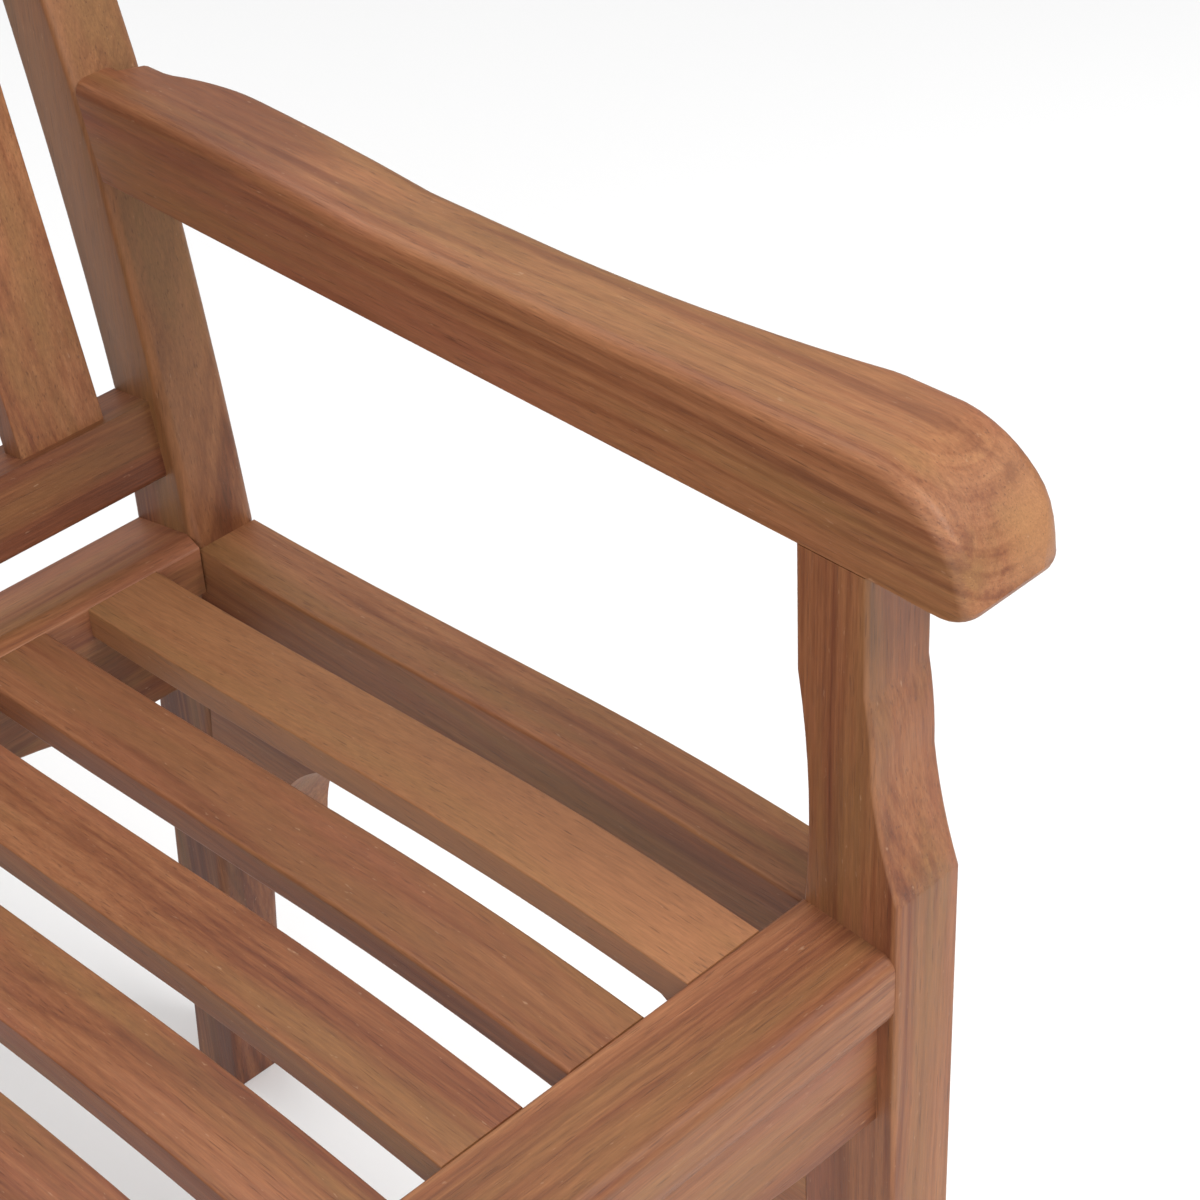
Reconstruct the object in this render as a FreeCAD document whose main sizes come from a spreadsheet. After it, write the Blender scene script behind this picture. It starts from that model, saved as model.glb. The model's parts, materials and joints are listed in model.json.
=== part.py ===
import FreeCAD, Part
import os
import Sketcher

# Slatted teak garden bench.  Millimetres, Z up, X along the length, the front faces -Y.
# The origin lies on the floor, at the middle of the bounding box.

V = FreeCAD.Vector
doc = FreeCAD.newDocument("GardenBench")
sizes = doc.addObject("Spreadsheet::Sheet", "Sizes")

DRIVING = [
    # overall
    ("overallLength", 1200.0),
    ("overallHeight", 900.0),
    ("seatHeight", 430.0),
    ("slatLength", 401.0),
    # front legs
    ("legWidth", 38.0),
    ("legDepth", 51.0),
    ("legTopDepth", 33.0),
    ("kneeHeight", 24.0),
    ("waistRise", 56.0),
    ("waistInset", 4.0),
    ("waistArc", 260.0),
    ("shoulderRise", 98.0),
    ("shoulderArc", 220.0),
    ("legRearSwell", 3.0),
    ("legRearArc", 450.0),
    ("legRearStraight", 60.0),
    # rear legs
    ("postGap", 3.0),
    ("postDepth", 51.0),
    ("postTopDepth", 41.0),
    ("postTopEase", 6.0),
    ("footSplay", 45.0),
    ("footTaper", 11.0),
    ("backRake", 113.0),
    ("rearHipLow", 30.0),
    ("rearHipHigh", 45.0),
    ("rearShoulderRise", 70.0),
    ("rearShoulderShift", 39.5),
    ("postFrontArc", 2500.0),
    ("postRearArc", 1900.0),
    # armrests
    ("armClear", 177.0),
    ("armThick", 47.0),
    ("armCrown", 5.0),
    ("armSagDrop", 3.0),
    ("armSagShare", 0.62),
    ("armRearTopArc", 2600.0),
    ("armFrontTopArc", 9000.0),
    ("armReach", 58.0),
    ("armWaistReach", 43.5),
    ("armWaistShare", 0.45),
    ("armHipReach", 46.5),
    ("armHipShare", 0.72),
    ("armBackReach", 47.5),
    ("armBackShare", 0.90),
    ("armTailReach", 37.0),
    ("armTailArc", 130.0),
    ("armSideArc", 800.0),
    ("armOverhang", 31.0),
    ("armNoseArc", 54.0),
    ("armNoseFlat", 2.0),
    ("armNoseCorner", 14.0),
    ("armNoseCut", 10.0),
    ("armNoseCornerArc", 16.0),
    ("armRearGap", 29.0),
    ("armRearLean", 0.25),
    # seat rails
    ("railDepth", 50.0),
    ("railHeight", 43.0),
    ("railFall", 3.0),
    ("railNose", 7.0),
    ("railChinRise", 14.0),
    ("railChinDepth", 9.0),
    ("railChinArc", 16.0),
    ("rearRailDepth", 52.0),
    ("rearRailHeight", 31.0),
    ("rearRailProud", 4.0),
    ("rearRailFall", 9.0),
    ("rearRailBevel", 9.0),
    # aprons
    ("apronThick", 22.0),
    ("apronHeight", 59.0),
    ("apronRise", 16.0),
    ("apronFlat", 30.0),
    ("apronSweep", 60.0),
    ("apronSetback", 9.0),
    ("rearApronSetback", 12.0),
    # side rails
    ("sideRailReveal", 1.0),
    ("sideRailDrop", 3.5),
    ("sideArch", 104.0),
    ("sideArchRadius", 100.0),
    ("sideEarDepth", 212.0),
    ("sideEarWidth", 29.0),
    # seat slats
    ("seatSlatCount", 16),
    ("seatSlatWidth", 42.0),
    ("seatSlatThick", 17.0),
    ("seatEndGap", 26.0),
    ("seatDish", 15.0),
    ("crestShare", 0.45),
    ("crestFall", 2.2),
    ("crestBend", 3.5),
    ("dishShare", 0.775),
    ("dishFall", 11.0),
    ("dishBend", 7.2),
    # back
    ("backRailThick", 28.0),
    ("backRailHeight", 42.0),
    ("backRailLift", 18.5),
    ("backRailSet", 15.0),
    ("backRailLean", 6.5),
    ("topRailHeight", 78.0),
    ("topRailLean", 21.8),
    ("topRailDrop", 4.0),
    ("topRailSet", 5.0),
    ("backSlatCount", 15),
    ("backSlatWidth", 48.0),
    ("backSlatThick", 15.0),
    ("backSlatSet", 5.0),
    # joints
    ("tenonLength", 20.0),
    ("tenonThick", 12.0),
    ("boardTenonThick", 8.0),
    ("tenonShoulder", 10.0),
    ("railTenonInset", 16.0),
    ("rearTenonInset", 27.0),
    ("rearTenonShoulder", 6.0),
    ("rearTenonHeight", 12.0),
    ("topTenonInset", 18.0),
    ("topTenonShoulder", 15.0),
    ("boardTenonDrop", 12.0),
    ("boardTenonHeight", 28.0),
    ("sideTenonDrop", 25.0),
    ("sideTenonHeight", 20.0),
    ("earTenonLift", 12.0),
    ("earTenonHeight", 70.0),
    ("legTopShoulder", 7.0),
    ("armTenonLift", 12.0),
    ("armTenonHeight", 22.0),
    ("slatTenonLength", 10.0),
    ("slatTenonThick", 8.0),
    ("slatTenonShoulder", 5.0),
    ("jointClearance", 0.1),
]

for row, (alias, number) in enumerate(DRIVING, 1):
    sizes.set("A%d" % row, alias)
    sizes.set("B%d" % row, "%g" % number)
    sizes.setAlias("B%d" % row, alias)
doc.recompute()


def value(expression):
    """The number that an expression of sheet names gives now."""
    return float(sizes.evalExpression(expression))


def sheet(expression):
    """The same expression as an object outside the sheet writes it."""
    for alias, number in DRIVING:
        expression = replaceWord(expression, alias, "Sizes." + alias)
    return expression


def replaceWord(text, word, other):
    """text with each whole word exchanged for other."""
    parts = text.split(word)
    result = parts[0]
    for part in parts[1:]:
        before = result[-1:]
        after = part[:1]
        whole = not (before.isalnum() or before in ("_", ".")) and not (after.isalnum() or after == "_")
        result += (other if whole else word) + part
    return result


origins = {}


def newBody(label, x="0", y="0", z="0"):
    """A body whose local origin is at x, y, z; y counts back from the rear edge of the front rail."""
    body = doc.addObject("PartDesign::Body", label)
    body.Label = label
    body.setExpression("Placement.Base.x", sheet(x))
    body.setExpression("Placement.Base.y", sheet("(%s) - (%s)" % (y, CENTRE_Y)))
    body.setExpression("Placement.Base.z", sheet(z))
    origins[label] = (x, y, z)
    return body


def originFeature(body, role):
    return [feature for feature in body.Origin.OriginFeatures if feature.Role == role][0]


def arcThrough(start, end, radius, turn):
    """The arc from start to end; its centre is to the left when turn is 1, to the right when -1."""
    chord = end - start
    half = chord.Length / 2
    rise = (radius * radius - half * half) ** 0.5
    side = V(-chord.y, chord.x, 0).normalize() * turn
    centre = start + chord * 0.5 + side * rise
    circle = Part.Circle(centre, V(0, 0, 1), radius)
    first, last = (start, end) if turn > 0 else (end, start)
    return Part.ArcOfCircle(circle, circle.parameter(first), circle.parameter(last))


def outline(body, role, corners, arcs=None, shift="0"):
    """A closed sketch; every corner is held by two expressions, arcs maps an edge to (radius, turn)."""
    arcs = arcs or {}
    sketch = body.newObject("Sketcher::SketchObject", body.Name + "Sketch")
    sketch.AttachmentSupport = [(originFeature(body, role), "")]
    sketch.MapMode = "FlatFace"
    sketch.setExpression(".AttachmentOffset.Base.z", sheet(shift))
    points = [V(value(a), value(b), 0) for a, b in corners]
    count = len(points)
    ends = []
    for edge in range(count):
        start = points[edge]
        end = points[(edge + 1) % count]
        if edge in arcs:
            radius, turn = arcs[edge]
            sketch.addGeometry(arcThrough(start, end, value(radius), turn), False)
            ends.append((1, 2) if turn > 0 else (2, 1))
        else:
            sketch.addGeometry(Part.LineSegment(start, end), False)
            ends.append((1, 2))
    for edge in range(count):
        after = (edge + 1) % count
        sketch.addConstraint(
            Sketcher.Constraint("Coincident", edge, ends[edge][1], after, ends[after][0])
        )
        for kind, axis, expression, number in (
            ("DistanceX", "across", corners[edge][0], points[edge].x),
            ("DistanceY", "up", corners[edge][1], points[edge].y),
        ):
            index = sketch.addConstraint(Sketcher.Constraint(kind, -1, 1, edge, ends[edge][0], number))
            name = "%s%d" % (axis, edge)
            sketch.renameConstraint(index, name)
            sketch.setExpression("Constraints." + name, sheet(expression))
        if edge in arcs:
            index = sketch.addConstraint(Sketcher.Constraint("Radius", edge, value(arcs[edge][0])))
            name = "radius%d" % edge
            sketch.renameConstraint(index, name)
            sketch.setExpression("Constraints." + name, sheet(arcs[edge][0]))
    sketch.recompute()
    return sketch


def extrude(body, sketch, length, reverse=False):
    """A pad of the given length."""
    pad = body.newObject("PartDesign::Pad", body.Name + "Pad")
    pad.Profile = sketch
    pad.Reversed = reverse
    pad.setExpression("Length", sheet(length))
    pad.recompute()
    return pad


def cut(body, sketch, length, reverse=False):
    """A pocket of the given depth; it must take something off."""
    before = body.Tip.Shape.Volume
    pocket = body.newObject("PartDesign::Pocket", body.Name + "Pocket")
    pocket.Profile = sketch
    pocket.Reversed = reverse
    pocket.setExpression("Length", sheet(length))
    pocket.recompute()
    if pocket.Shape.Volume >= before - 1.0:
        raise RuntimeError(body.Label + ": a pocket cuts nothing")
    return pocket


def repeat(body, feature, length, count):
    """The feature again, count times over the length along X."""
    pattern = body.newObject("PartDesign::LinearPattern", body.Name + "Row")
    pattern.Originals = [feature]
    pattern.Direction = (originFeature(body, "X_Axis"), [""])
    pattern.setExpression("Length", sheet(length))
    pattern.setExpression("Occurrences", sheet(count))
    body.Tip = pattern
    pattern.recompute()
    return pattern


def blockSketch(body, block, grow):
    """The YZ rectangle of a block, each side moved out by grow, on the plane of its lower X face."""
    (x0, x1), (y0, y1), (z0, z1) = block
    atX, atY, atZ = origins[body.Label]
    near = "(%s) - (%s) - %s" % (y0, atY, grow)
    far = "(%s) - (%s) + %s" % (y1, atY, grow)
    low = "(%s) - (%s) - %s" % (z0, atZ, grow)
    high = "(%s) - (%s) + %s" % (z1, atZ, grow)
    corners = [(near, low), (far, low), (far, high), (near, high)]
    return outline(body, "YZ_Plane", corners, shift="(%s) - (%s) - %s" % (x0, atX, grow))


def tenon(body, block):
    (x0, x1), across, up = block
    extrude(body, blockSketch(body, block, "0"), "(%s) - (%s)" % (x1, x0))


def mortise(body, block):
    (x0, x1), across, up = block
    length = "(%s) - (%s) + 2 * jointClearance" % (x1, x0)
    return cut(body, blockSketch(body, block, "jointClearance"), length, True)


# ---- heights and depths that several pieces share, as expressions of the sheet ----

INSIDE = "(overallLength / 2 - armReach)"
ARM_UNDER = "(seatHeight + armClear)"
POST_FRONT = "(slatLength + postGap)"
POST_BACK = "(slatLength + postGap + postDepth)"
POST_TOP_BACK = "(slatLength + postGap + postTopDepth + backRake)"
POST_TOP_FRONT = "(slatLength + postGap + backRake)"
NOSE = "(legDepth + armOverhang)"
CENTRE_Y = "(%s - %s) / 2" % (POST_TOP_BACK, NOSE)
ARM_REAR_LOW = "(slatLength + postGap + armRearGap)"
ARM_REAR_HIGH = "(slatLength + postGap + armRearGap + armThick * armRearLean)"
RAIL_TOP = "(seatHeight - sideRailDrop)"
RAIL_TOP_REAR = "(seatHeight - sideRailDrop - seatDish)"
REAR_RAIL_TOP = "(seatHeight - seatDish + rearRailProud)"
FRONT_APRON_TOP = "(seatHeight - railHeight)"
REAR_APRON_TOP = "(%s - rearRailHeight)" % REAR_RAIL_TOP
FRONT_APRON_FACE = "(apronSetback - railDepth)"
REAR_APRON_FACE = "(slatLength + rearApronSetback)"
LOW_RAIL_Y = "(%s + backRailSet)" % POST_FRONT
LOW_RAIL_Z = "(seatHeight + backRailLift)"
TOP_RAIL_Y = "(%s + topRailSet - topRailLean)" % POST_TOP_FRONT
TOP_RAIL_Z = "(overallHeight - topRailDrop - topRailHeight)"
SIDES = (("left", -1), ("right", 1))


def sideX(side, out="0"):
    """X of a place that lies out beyond the inner face of the legs on one side."""
    return "%d * (%s + %s)" % (side, INSIDE, out)


def sideSpan(side, near, far):
    """The lower and upper X of a stretch from near to far beyond the legs' inner face."""
    ends = (sideX(side, near), sideX(side, far))
    return ends if side > 0 else ends[::-1]


def seatCurve(base):
    """The seat's profile from front to rear below base: a crest, a straight fall, a dish."""
    return [
        ("0", base),
        ("slatLength * crestShare", "%s - crestFall" % base),
        ("slatLength * dishShare", "%s - dishFall" % base),
        ("slatLength", "%s - seatDish" % base),
    ]


CREST = "slatLength * crestBend"
DISH = "slatLength * dishBend"


def legFace(height):
    """Where the rear leg's front face lies at a height below the seat."""
    bend = RAIL_TOP_REAR
    return "%s + footSplay * (%s - (%s)) / %s" % (POST_FRONT, bend, height, bend)


# ---- where the tenons run; each is one block (X span, Y span, Z span) that both pieces read ----

ACROSS = (sideX(-1, "tenonLength"), sideX(1, "tenonLength"))


def crossTenon(front, low, thick, height):
    """A tenon that sticks out of both ends of a rail or board."""
    return ACROSS, (front, "%s + %s" % (front, thick)), (low, "%s + %s" % (low, height))


BOARD_INSET = "(apronThick - boardTenonThick) / 2"
crossTenons = {
    "front_rail": crossTenon(
        "railTenonInset - railDepth",
        "seatHeight - railHeight + tenonShoulder",
        "tenonThick",
        "railHeight - 2 * tenonShoulder",
    ),
    "front_apron": crossTenon(
        "%s + %s" % (FRONT_APRON_FACE, BOARD_INSET),
        FRONT_APRON_TOP + " - boardTenonDrop - boardTenonHeight",
        "boardTenonThick",
        "boardTenonHeight",
    ),
    "rear_rail": crossTenon(
        "slatLength + rearTenonInset",
        REAR_APRON_TOP + " + rearTenonShoulder",
        "tenonThick",
        "rearTenonHeight",
    ),
    "rear_apron": crossTenon(
        "%s + %s" % (REAR_APRON_FACE, BOARD_INSET),
        REAR_APRON_TOP + " - boardTenonDrop - boardTenonHeight",
        "boardTenonThick",
        "boardTenonHeight",
    ),
    "lower_back_rail": crossTenon(
        LOW_RAIL_Y + " + tenonShoulder",
        LOW_RAIL_Z + " + tenonShoulder",
        "tenonThick",
        "backRailHeight - 2 * tenonShoulder",
    ),
    "top_back_rail": crossTenon(
        TOP_RAIL_Y + " + topTenonInset",
        TOP_RAIL_Z + " + topTenonShoulder",
        "boardTenonThick",
        "topRailHeight - 2 * topTenonShoulder",
    ),
}


def sideTenons(side):
    """Blocks in the plane of a bench end: two at each end of the side rail, two on the arm."""
    middle = sideSpan(side, "legWidth / 2 - tenonThick / 2", "legWidth / 2 + tenonThick / 2")
    upper = ("seatHeight - sideTenonDrop - sideTenonHeight", "seatHeight - sideTenonDrop")
    earLow = "seatHeight - sideEarDepth + earTenonLift"
    lower = (earLow, earLow + " + earTenonHeight")
    front = ("-tenonLength", "sideEarWidth / 2")
    rear = POST_FRONT + " - sideEarWidth / 2"
    rearLow = legFace(earLow + " + earTenonHeight / 2")
    return {
        "frontUpper": (middle, front, upper),
        "frontLower": (middle, front, lower),
        "rearUpper": (middle, (rear, POST_FRONT + " + tenonLength"), upper),
        "rearLower": (middle, (rear, rearLow + " + tenonLength"), lower),
        "legTop": (
            middle,
            ("legTopShoulder - legTopDepth", "legRearSwell - legTopShoulder"),
            (ARM_UNDER + " - tenonShoulder", ARM_UNDER + " + tenonLength"),
        ),
        "armRear": (
            middle,
            (ARM_REAR_LOW + " - tenonShoulder", ARM_REAR_HIGH + " + tenonLength - tenonShoulder"),
            (ARM_UNDER + " + armTenonLift", ARM_UNDER + " + armTenonLift + armTenonHeight"),
        ),
    }


SEAT_PITCH = "((2 * %s - 2 * seatEndGap - seatSlatWidth) / (seatSlatCount - 1))" % INSIDE
BACK_GAP = "((2 * %s - backSlatCount * backSlatWidth) / (backSlatCount + 1))" % INSIDE
BACK_PITCH = "(%s + backSlatWidth)" % BACK_GAP
BACK_LOW_Y = "(%s + backRailLean + backSlatSet)" % LOW_RAIL_Y
BACK_LOW_Z = "(%s + backRailHeight)" % LOW_RAIL_Z
BACK_HIGH_Y = "(%s + backSlatSet)" % TOP_RAIL_Y
BACK_TENON = "(backSlatThick - slatTenonThick) / 2"


def seatSlatLeft(number):
    return "%s - seatEndGap - seatSlatWidth - %d * %s" % (INSIDE, number, SEAT_PITCH)


def backSlatLeft(number):
    return "%s - %d * %s" % (INSIDE, number + 1, BACK_PITCH)


def slatSpan(left, width):
    return ("%s + slatTenonShoulder" % left, "%s + %s - slatTenonShoulder" % (left, width))


def slatRise(top):
    """The height that a seat slat's stub tenon takes below the slat's top."""
    return ("%s - slatTenonShoulder - slatTenonThick" % top, "%s - slatTenonShoulder" % top)


def seatTenons(left):
    span = slatSpan(left, "seatSlatWidth")
    return {
        "front": (span, ("-slatTenonLength", "slatTenonShoulder"), slatRise("seatHeight")),
        "rear": (
            span,
            ("slatLength - slatTenonShoulder", "slatLength + slatTenonLength"),
            slatRise("(seatHeight - seatDish)"),
        ),
    }


def backTenons(left):
    span = slatSpan(left, "backSlatWidth")
    low = "%s + %s" % (BACK_LOW_Y, BACK_TENON)
    high = "%s + %s" % (BACK_HIGH_Y, BACK_TENON)
    return {
        "low": (
            span,
            (low, low + " + slatTenonThick"),
            (BACK_LOW_Z + " - slatTenonLength", BACK_LOW_Z + " + slatTenonShoulder"),
        ),
        "high": (
            span,
            (high, high + " + slatTenonThick"),
            (TOP_RAIL_Z + " - slatTenonShoulder", TOP_RAIL_Z + " + slatTenonLength"),
        ),
    }


def makeFrontLeg(name, side):
    """Square below the seat, shaped above it, where it narrows to carry the arm."""
    body = newBody(name, sideX(side))
    knee = "seatHeight + kneeHeight"
    corners = [
        ("-legDepth", "0"),
        ("0", "0"),
        ("0", "seatHeight"),
        ("legRearSwell", ARM_UNDER + " - legRearStraight"),
        ("legRearSwell", ARM_UNDER),
        ("-legTopDepth", ARM_UNDER),
        ("-legTopDepth", knee + " + shoulderRise"),
        ("-legTopDepth - waistInset", knee + " + waistRise"),
        ("-legDepth", knee),
    ]
    arcs = {2: ("legRearArc", -1), 6: ("shoulderArc", 1), 7: ("waistArc", -1)}
    extrude(body, outline(body, "YZ_Plane", corners, arcs), "legWidth", side < 0)
    blocks = sideTenons(side)
    tenon(body, blocks["legTop"])
    for key in ("frontUpper", "frontLower"):
        mortise(body, blocks[key])
    for key in ("front_rail", "front_apron"):
        mortise(body, crossTenons[key])
    return body


def makeRearLeg(name, side):
    """One bent piece from the floor to the top of the back."""
    body = newBody(name, sideX(side))
    corners = [
        (POST_FRONT + " + footSplay", "0"),
        (POST_BACK + " + footSplay - footTaper", "0"),
        (POST_BACK, "seatHeight - rearHipLow"),
        (POST_BACK, "seatHeight + rearHipHigh"),
        (POST_BACK + " + rearShoulderShift", ARM_UNDER + " + rearShoulderRise"),
        (POST_TOP_BACK, "overallHeight - postTopEase"),
        (POST_TOP_BACK + " - postTopEase", "overallHeight"),
        (POST_TOP_FRONT + " + postTopEase", "overallHeight"),
        (POST_TOP_FRONT, "overallHeight - postTopEase"),
        (ARM_REAR_HIGH, ARM_UNDER + " + armThick"),
        (ARM_REAR_LOW, ARM_UNDER),
        (POST_FRONT, RAIL_TOP_REAR),
    ]
    arcs = {3: ("postRearArc", -1), 10: ("postFrontArc", 1)}
    extrude(body, outline(body, "YZ_Plane", corners, arcs), "legWidth", side < 0)
    blocks = sideTenons(side)
    for key in ("rearUpper", "rearLower", "armRear"):
        mortise(body, blocks[key])
    for key in ("rear_rail", "rear_apron", "lower_back_rail", "top_back_rail"):
        mortise(body, crossTenons[key])
    return body


def makeArmrest(name, side):
    """Sawn to a curve in both views; the nose rolls over in front of the leg."""
    body = newBody(name, sideX(side))
    top = "(%s + armThick)" % ARM_UNDER
    corners = [
        ("-" + NOSE, ARM_UNDER),
        (ARM_REAR_LOW, ARM_UNDER),
        (ARM_REAR_HIGH, top),
        ("slatLength * armSagShare", top + " - armSagDrop"),
        ("-legTopDepth", top + " + armCrown"),
        ("-" + NOSE, ARM_UNDER + " + armNoseFlat"),
    ]
    arcs = {2: ("armRearTopArc", 1), 3: ("armFrontTopArc", 1), 4: ("armNoseArc", 1)}
    extrude(body, outline(body, "YZ_Plane", corners, arcs), "armReach", side < 0)
    out = "%d * " % side
    beyond = out + "2 * armReach"
    plan = [
        (out + "armReach", "armNoseCorner - " + NOSE),
        (out + "armReach", "0"),
        (out + "armWaistReach", "slatLength * armWaistShare"),
        (out + "armHipReach", "slatLength * armHipShare"),
        (out + "armBackReach", "slatLength * armBackShare"),
        (out + "armTailReach", POST_FRONT + " + armRearGap / 2"),
        (out + "armTailReach", POST_BACK),
        (beyond, POST_BACK),
        (beyond, "-2 * " + NOSE),
        (out + "(armReach - armNoseCut)", "-2 * " + NOSE),
        (out + "(armReach - armNoseCut)", "-" + NOSE),
    ]
    arcs = {1: ("armSideArc", -side), 4: ("armTailArc", side), 10: ("armNoseCornerArc", side)}
    cut(body, outline(body, "XY_Plane", plan, arcs), "overallHeight", True)
    blocks = sideTenons(side)
    mortise(body, blocks["legTop"])
    tenon(body, blocks["armRear"])
    return body


def makeSideRail(name, side):
    """Its top follows the slats; below it arches between two ears beside the legs."""
    body = newBody(name, sideX(side))
    ear = "seatHeight - sideEarDepth"
    crown = "seatHeight - sideArch"
    tip = crown + " - sideArchRadius"
    farEar = POST_FRONT + " - sideEarWidth"
    corners = [
        ("0", ear),
        ("sideEarWidth", ear),
        ("sideEarWidth", tip),
        ("sideEarWidth + sideArchRadius", crown),
        (farEar + " - sideArchRadius", crown),
        (farEar, tip),
        (farEar, ear),
        (legFace(ear), ear),
        (POST_FRONT, RAIL_TOP_REAR),
    ]
    corners += seatCurve(RAIL_TOP)[2::-1]
    bend = ("sideArchRadius", -1)
    arcs = {2: bend, 4: bend, 8: (DISH, -1), 10: (CREST, 1)}
    shift = "%d * sideRailReveal" % side
    extrude(body, outline(body, "YZ_Plane", corners, arcs, shift), "legWidth - 2 * sideRailReveal", side < 0)
    blocks = sideTenons(side)
    for key in ("frontUpper", "frontLower", "rearUpper", "rearLower"):
        tenon(body, blocks[key])
    return body


def makeFrontRail():
    """A rounded nose and chin in front; the slats are let into its rear face."""
    body = newBody("front_rail", "-" + INSIDE)
    low = "seatHeight - railHeight"
    corners = [
        ("0", low),
        ("0", "seatHeight"),
        ("railNose - railDepth", "seatHeight - railFall"),
        ("-railDepth", "seatHeight - railFall - railNose"),
        ("-railDepth", low + " + railChinRise"),
        ("railChinDepth - railDepth", low),
    ]
    sketch = outline(body, "YZ_Plane", corners, {2: ("railNose", 1), 4: ("railChinArc", 1)})
    extrude(body, sketch, "2 * " + INSIDE)
    tenon(body, crossTenons["front_rail"])
    first = mortise(body, seatTenons("seatEndGap - " + INSIDE)["front"])
    repeat(body, first, SEAT_PITCH + " * (seatSlatCount - 1)", "seatSlatCount")
    return body


def makeRearRail():
    """The slats are let into its front face; its top falls to the rear."""
    body = newBody("rear_rail", "-" + INSIDE)
    corners = [
        ("slatLength", REAR_APRON_TOP),
        ("slatLength + rearRailDepth", REAR_APRON_TOP),
        ("slatLength + rearRailDepth", REAR_RAIL_TOP + " - rearRailFall"),
        ("slatLength + rearRailBevel", REAR_RAIL_TOP),
        ("slatLength", REAR_RAIL_TOP + " - rearRailProud"),
    ]
    extrude(body, outline(body, "YZ_Plane", corners), "2 * " + INSIDE)
    tenon(body, crossTenons["rear_rail"])
    first = mortise(body, seatTenons("seatEndGap - " + INSIDE)["rear"])
    repeat(body, first, SEAT_PITCH + " * (seatSlatCount - 1)", "seatSlatCount")
    return body


def makeApron(name, front, top):
    """A board on edge between the legs whose lower edge rises towards the middle."""
    body = newBody(name, "0", front)
    low = "%s - apronHeight" % top
    rises = [
        ("apronFlat", low),
        ("apronFlat + apronSweep", low + " + apronRise / 2"),
        ("apronFlat + 2 * apronSweep", low + " + apronRise"),
    ]
    corners = [("-" + INSIDE, top), ("-" + INSIDE, low)]
    corners += [("%s - %s" % (along, INSIDE), height) for along, height in rises]
    corners += [("%s - (%s)" % (INSIDE, along), height) for along, height in rises[::-1]]
    corners += [(INSIDE, low), (INSIDE, top)]
    bend = "(apronSweep * apronSweep + apronRise * apronRise / 4) / apronRise"
    arcs = {2: (bend, 1), 3: (bend, -1), 5: (bend, -1), 6: (bend, 1)}
    extrude(body, outline(body, "XZ_Plane", corners, arcs), "apronThick", True)
    tenon(body, crossTenons[name])
    return body


def makeBackRail(name, y, z, lean, height):
    """A raked bar between the rear legs; y, z is its lower front edge, lean its shift over its height."""
    body = newBody(name, "-" + INSIDE)
    drop = "backRailThick * %s / %s" % (lean, height)
    corners = [
        (y, z),
        ("%s + backRailThick" % y, "%s - %s" % (z, drop)),
        ("%s + backRailThick + %s" % (y, lean), "%s + %s - %s" % (z, height, drop)),
        ("%s + %s" % (y, lean), "%s + %s" % (z, height)),
    ]
    extrude(body, outline(body, "YZ_Plane", corners), "2 * " + INSIDE)
    tenon(body, crossTenons[name])
    key = "low" if name == "lower_back_rail" else "high"
    first = mortise(body, backTenons("%s - %s" % (BACK_GAP, INSIDE))[key])
    repeat(body, first, BACK_PITCH + " * (backSlatCount - 1)", "backSlatCount")
    return body


def makeSeatSlat(number):
    """A sawn curve with a stub tenon at each end."""
    left = seatSlatLeft(number)
    body = newBody("seat_slat_%02d" % (number + 1), left)
    corners = seatCurve("(seatHeight - seatSlatThick)") + seatCurve("seatHeight")[::-1]
    arcs = {0: (CREST, -1), 2: (DISH, 1), 4: (DISH, -1), 6: (CREST, 1)}
    extrude(body, outline(body, "YZ_Plane", corners, arcs), "seatSlatWidth")
    for block in seatTenons(left).values():
        tenon(body, block)
    return body


def makeBackSlat(number):
    """A straight slat that leans back, with a stub tenon at each end."""
    left = backSlatLeft(number)
    body = newBody("back_slat_%02d" % (number + 1), left)
    lowSlope = "backRailLean / backRailHeight"
    highSlope = "topRailLean / topRailHeight"
    corners = [
        (BACK_LOW_Y, "%s - backSlatSet * %s" % (BACK_LOW_Z, lowSlope)),
        (
            BACK_LOW_Y + " + backSlatThick",
            "%s - (backSlatSet + backSlatThick) * %s" % (BACK_LOW_Z, lowSlope),
        ),
        (
            BACK_HIGH_Y + " + backSlatThick",
            "%s - (backSlatSet + backSlatThick) * %s" % (TOP_RAIL_Z, highSlope),
        ),
        (BACK_HIGH_Y, "%s - backSlatSet * %s" % (TOP_RAIL_Z, highSlope)),
    ]
    extrude(body, outline(body, "YZ_Plane", corners), "backSlatWidth")
    for block in backTenons(left).values():
        tenon(body, block)
    return body


pieces = []
for word, side in SIDES:
    pieces.append(makeFrontLeg("front_leg_" + word, side))
    pieces.append(makeRearLeg("rear_leg_" + word, side))
    pieces.append(makeArmrest("armrest_" + word, side))
    pieces.append(makeSideRail("side_rail_" + word, side))
pieces.append(makeFrontRail())
pieces.append(makeRearRail())
pieces.append(makeApron("front_apron", FRONT_APRON_FACE, FRONT_APRON_TOP))
pieces.append(makeApron("rear_apron", REAR_APRON_FACE, REAR_APRON_TOP))
pieces.append(makeBackRail("lower_back_rail", LOW_RAIL_Y, LOW_RAIL_Z, "backRailLean", "backRailHeight"))
pieces.append(makeBackRail("top_back_rail", TOP_RAIL_Y, TOP_RAIL_Z, "topRailLean", "topRailHeight"))
for number in range(int(value("seatSlatCount"))):
    pieces.append(makeSeatSlat(number))
for number in range(int(value("backSlatCount"))):
    pieces.append(makeBackSlat(number))

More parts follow.
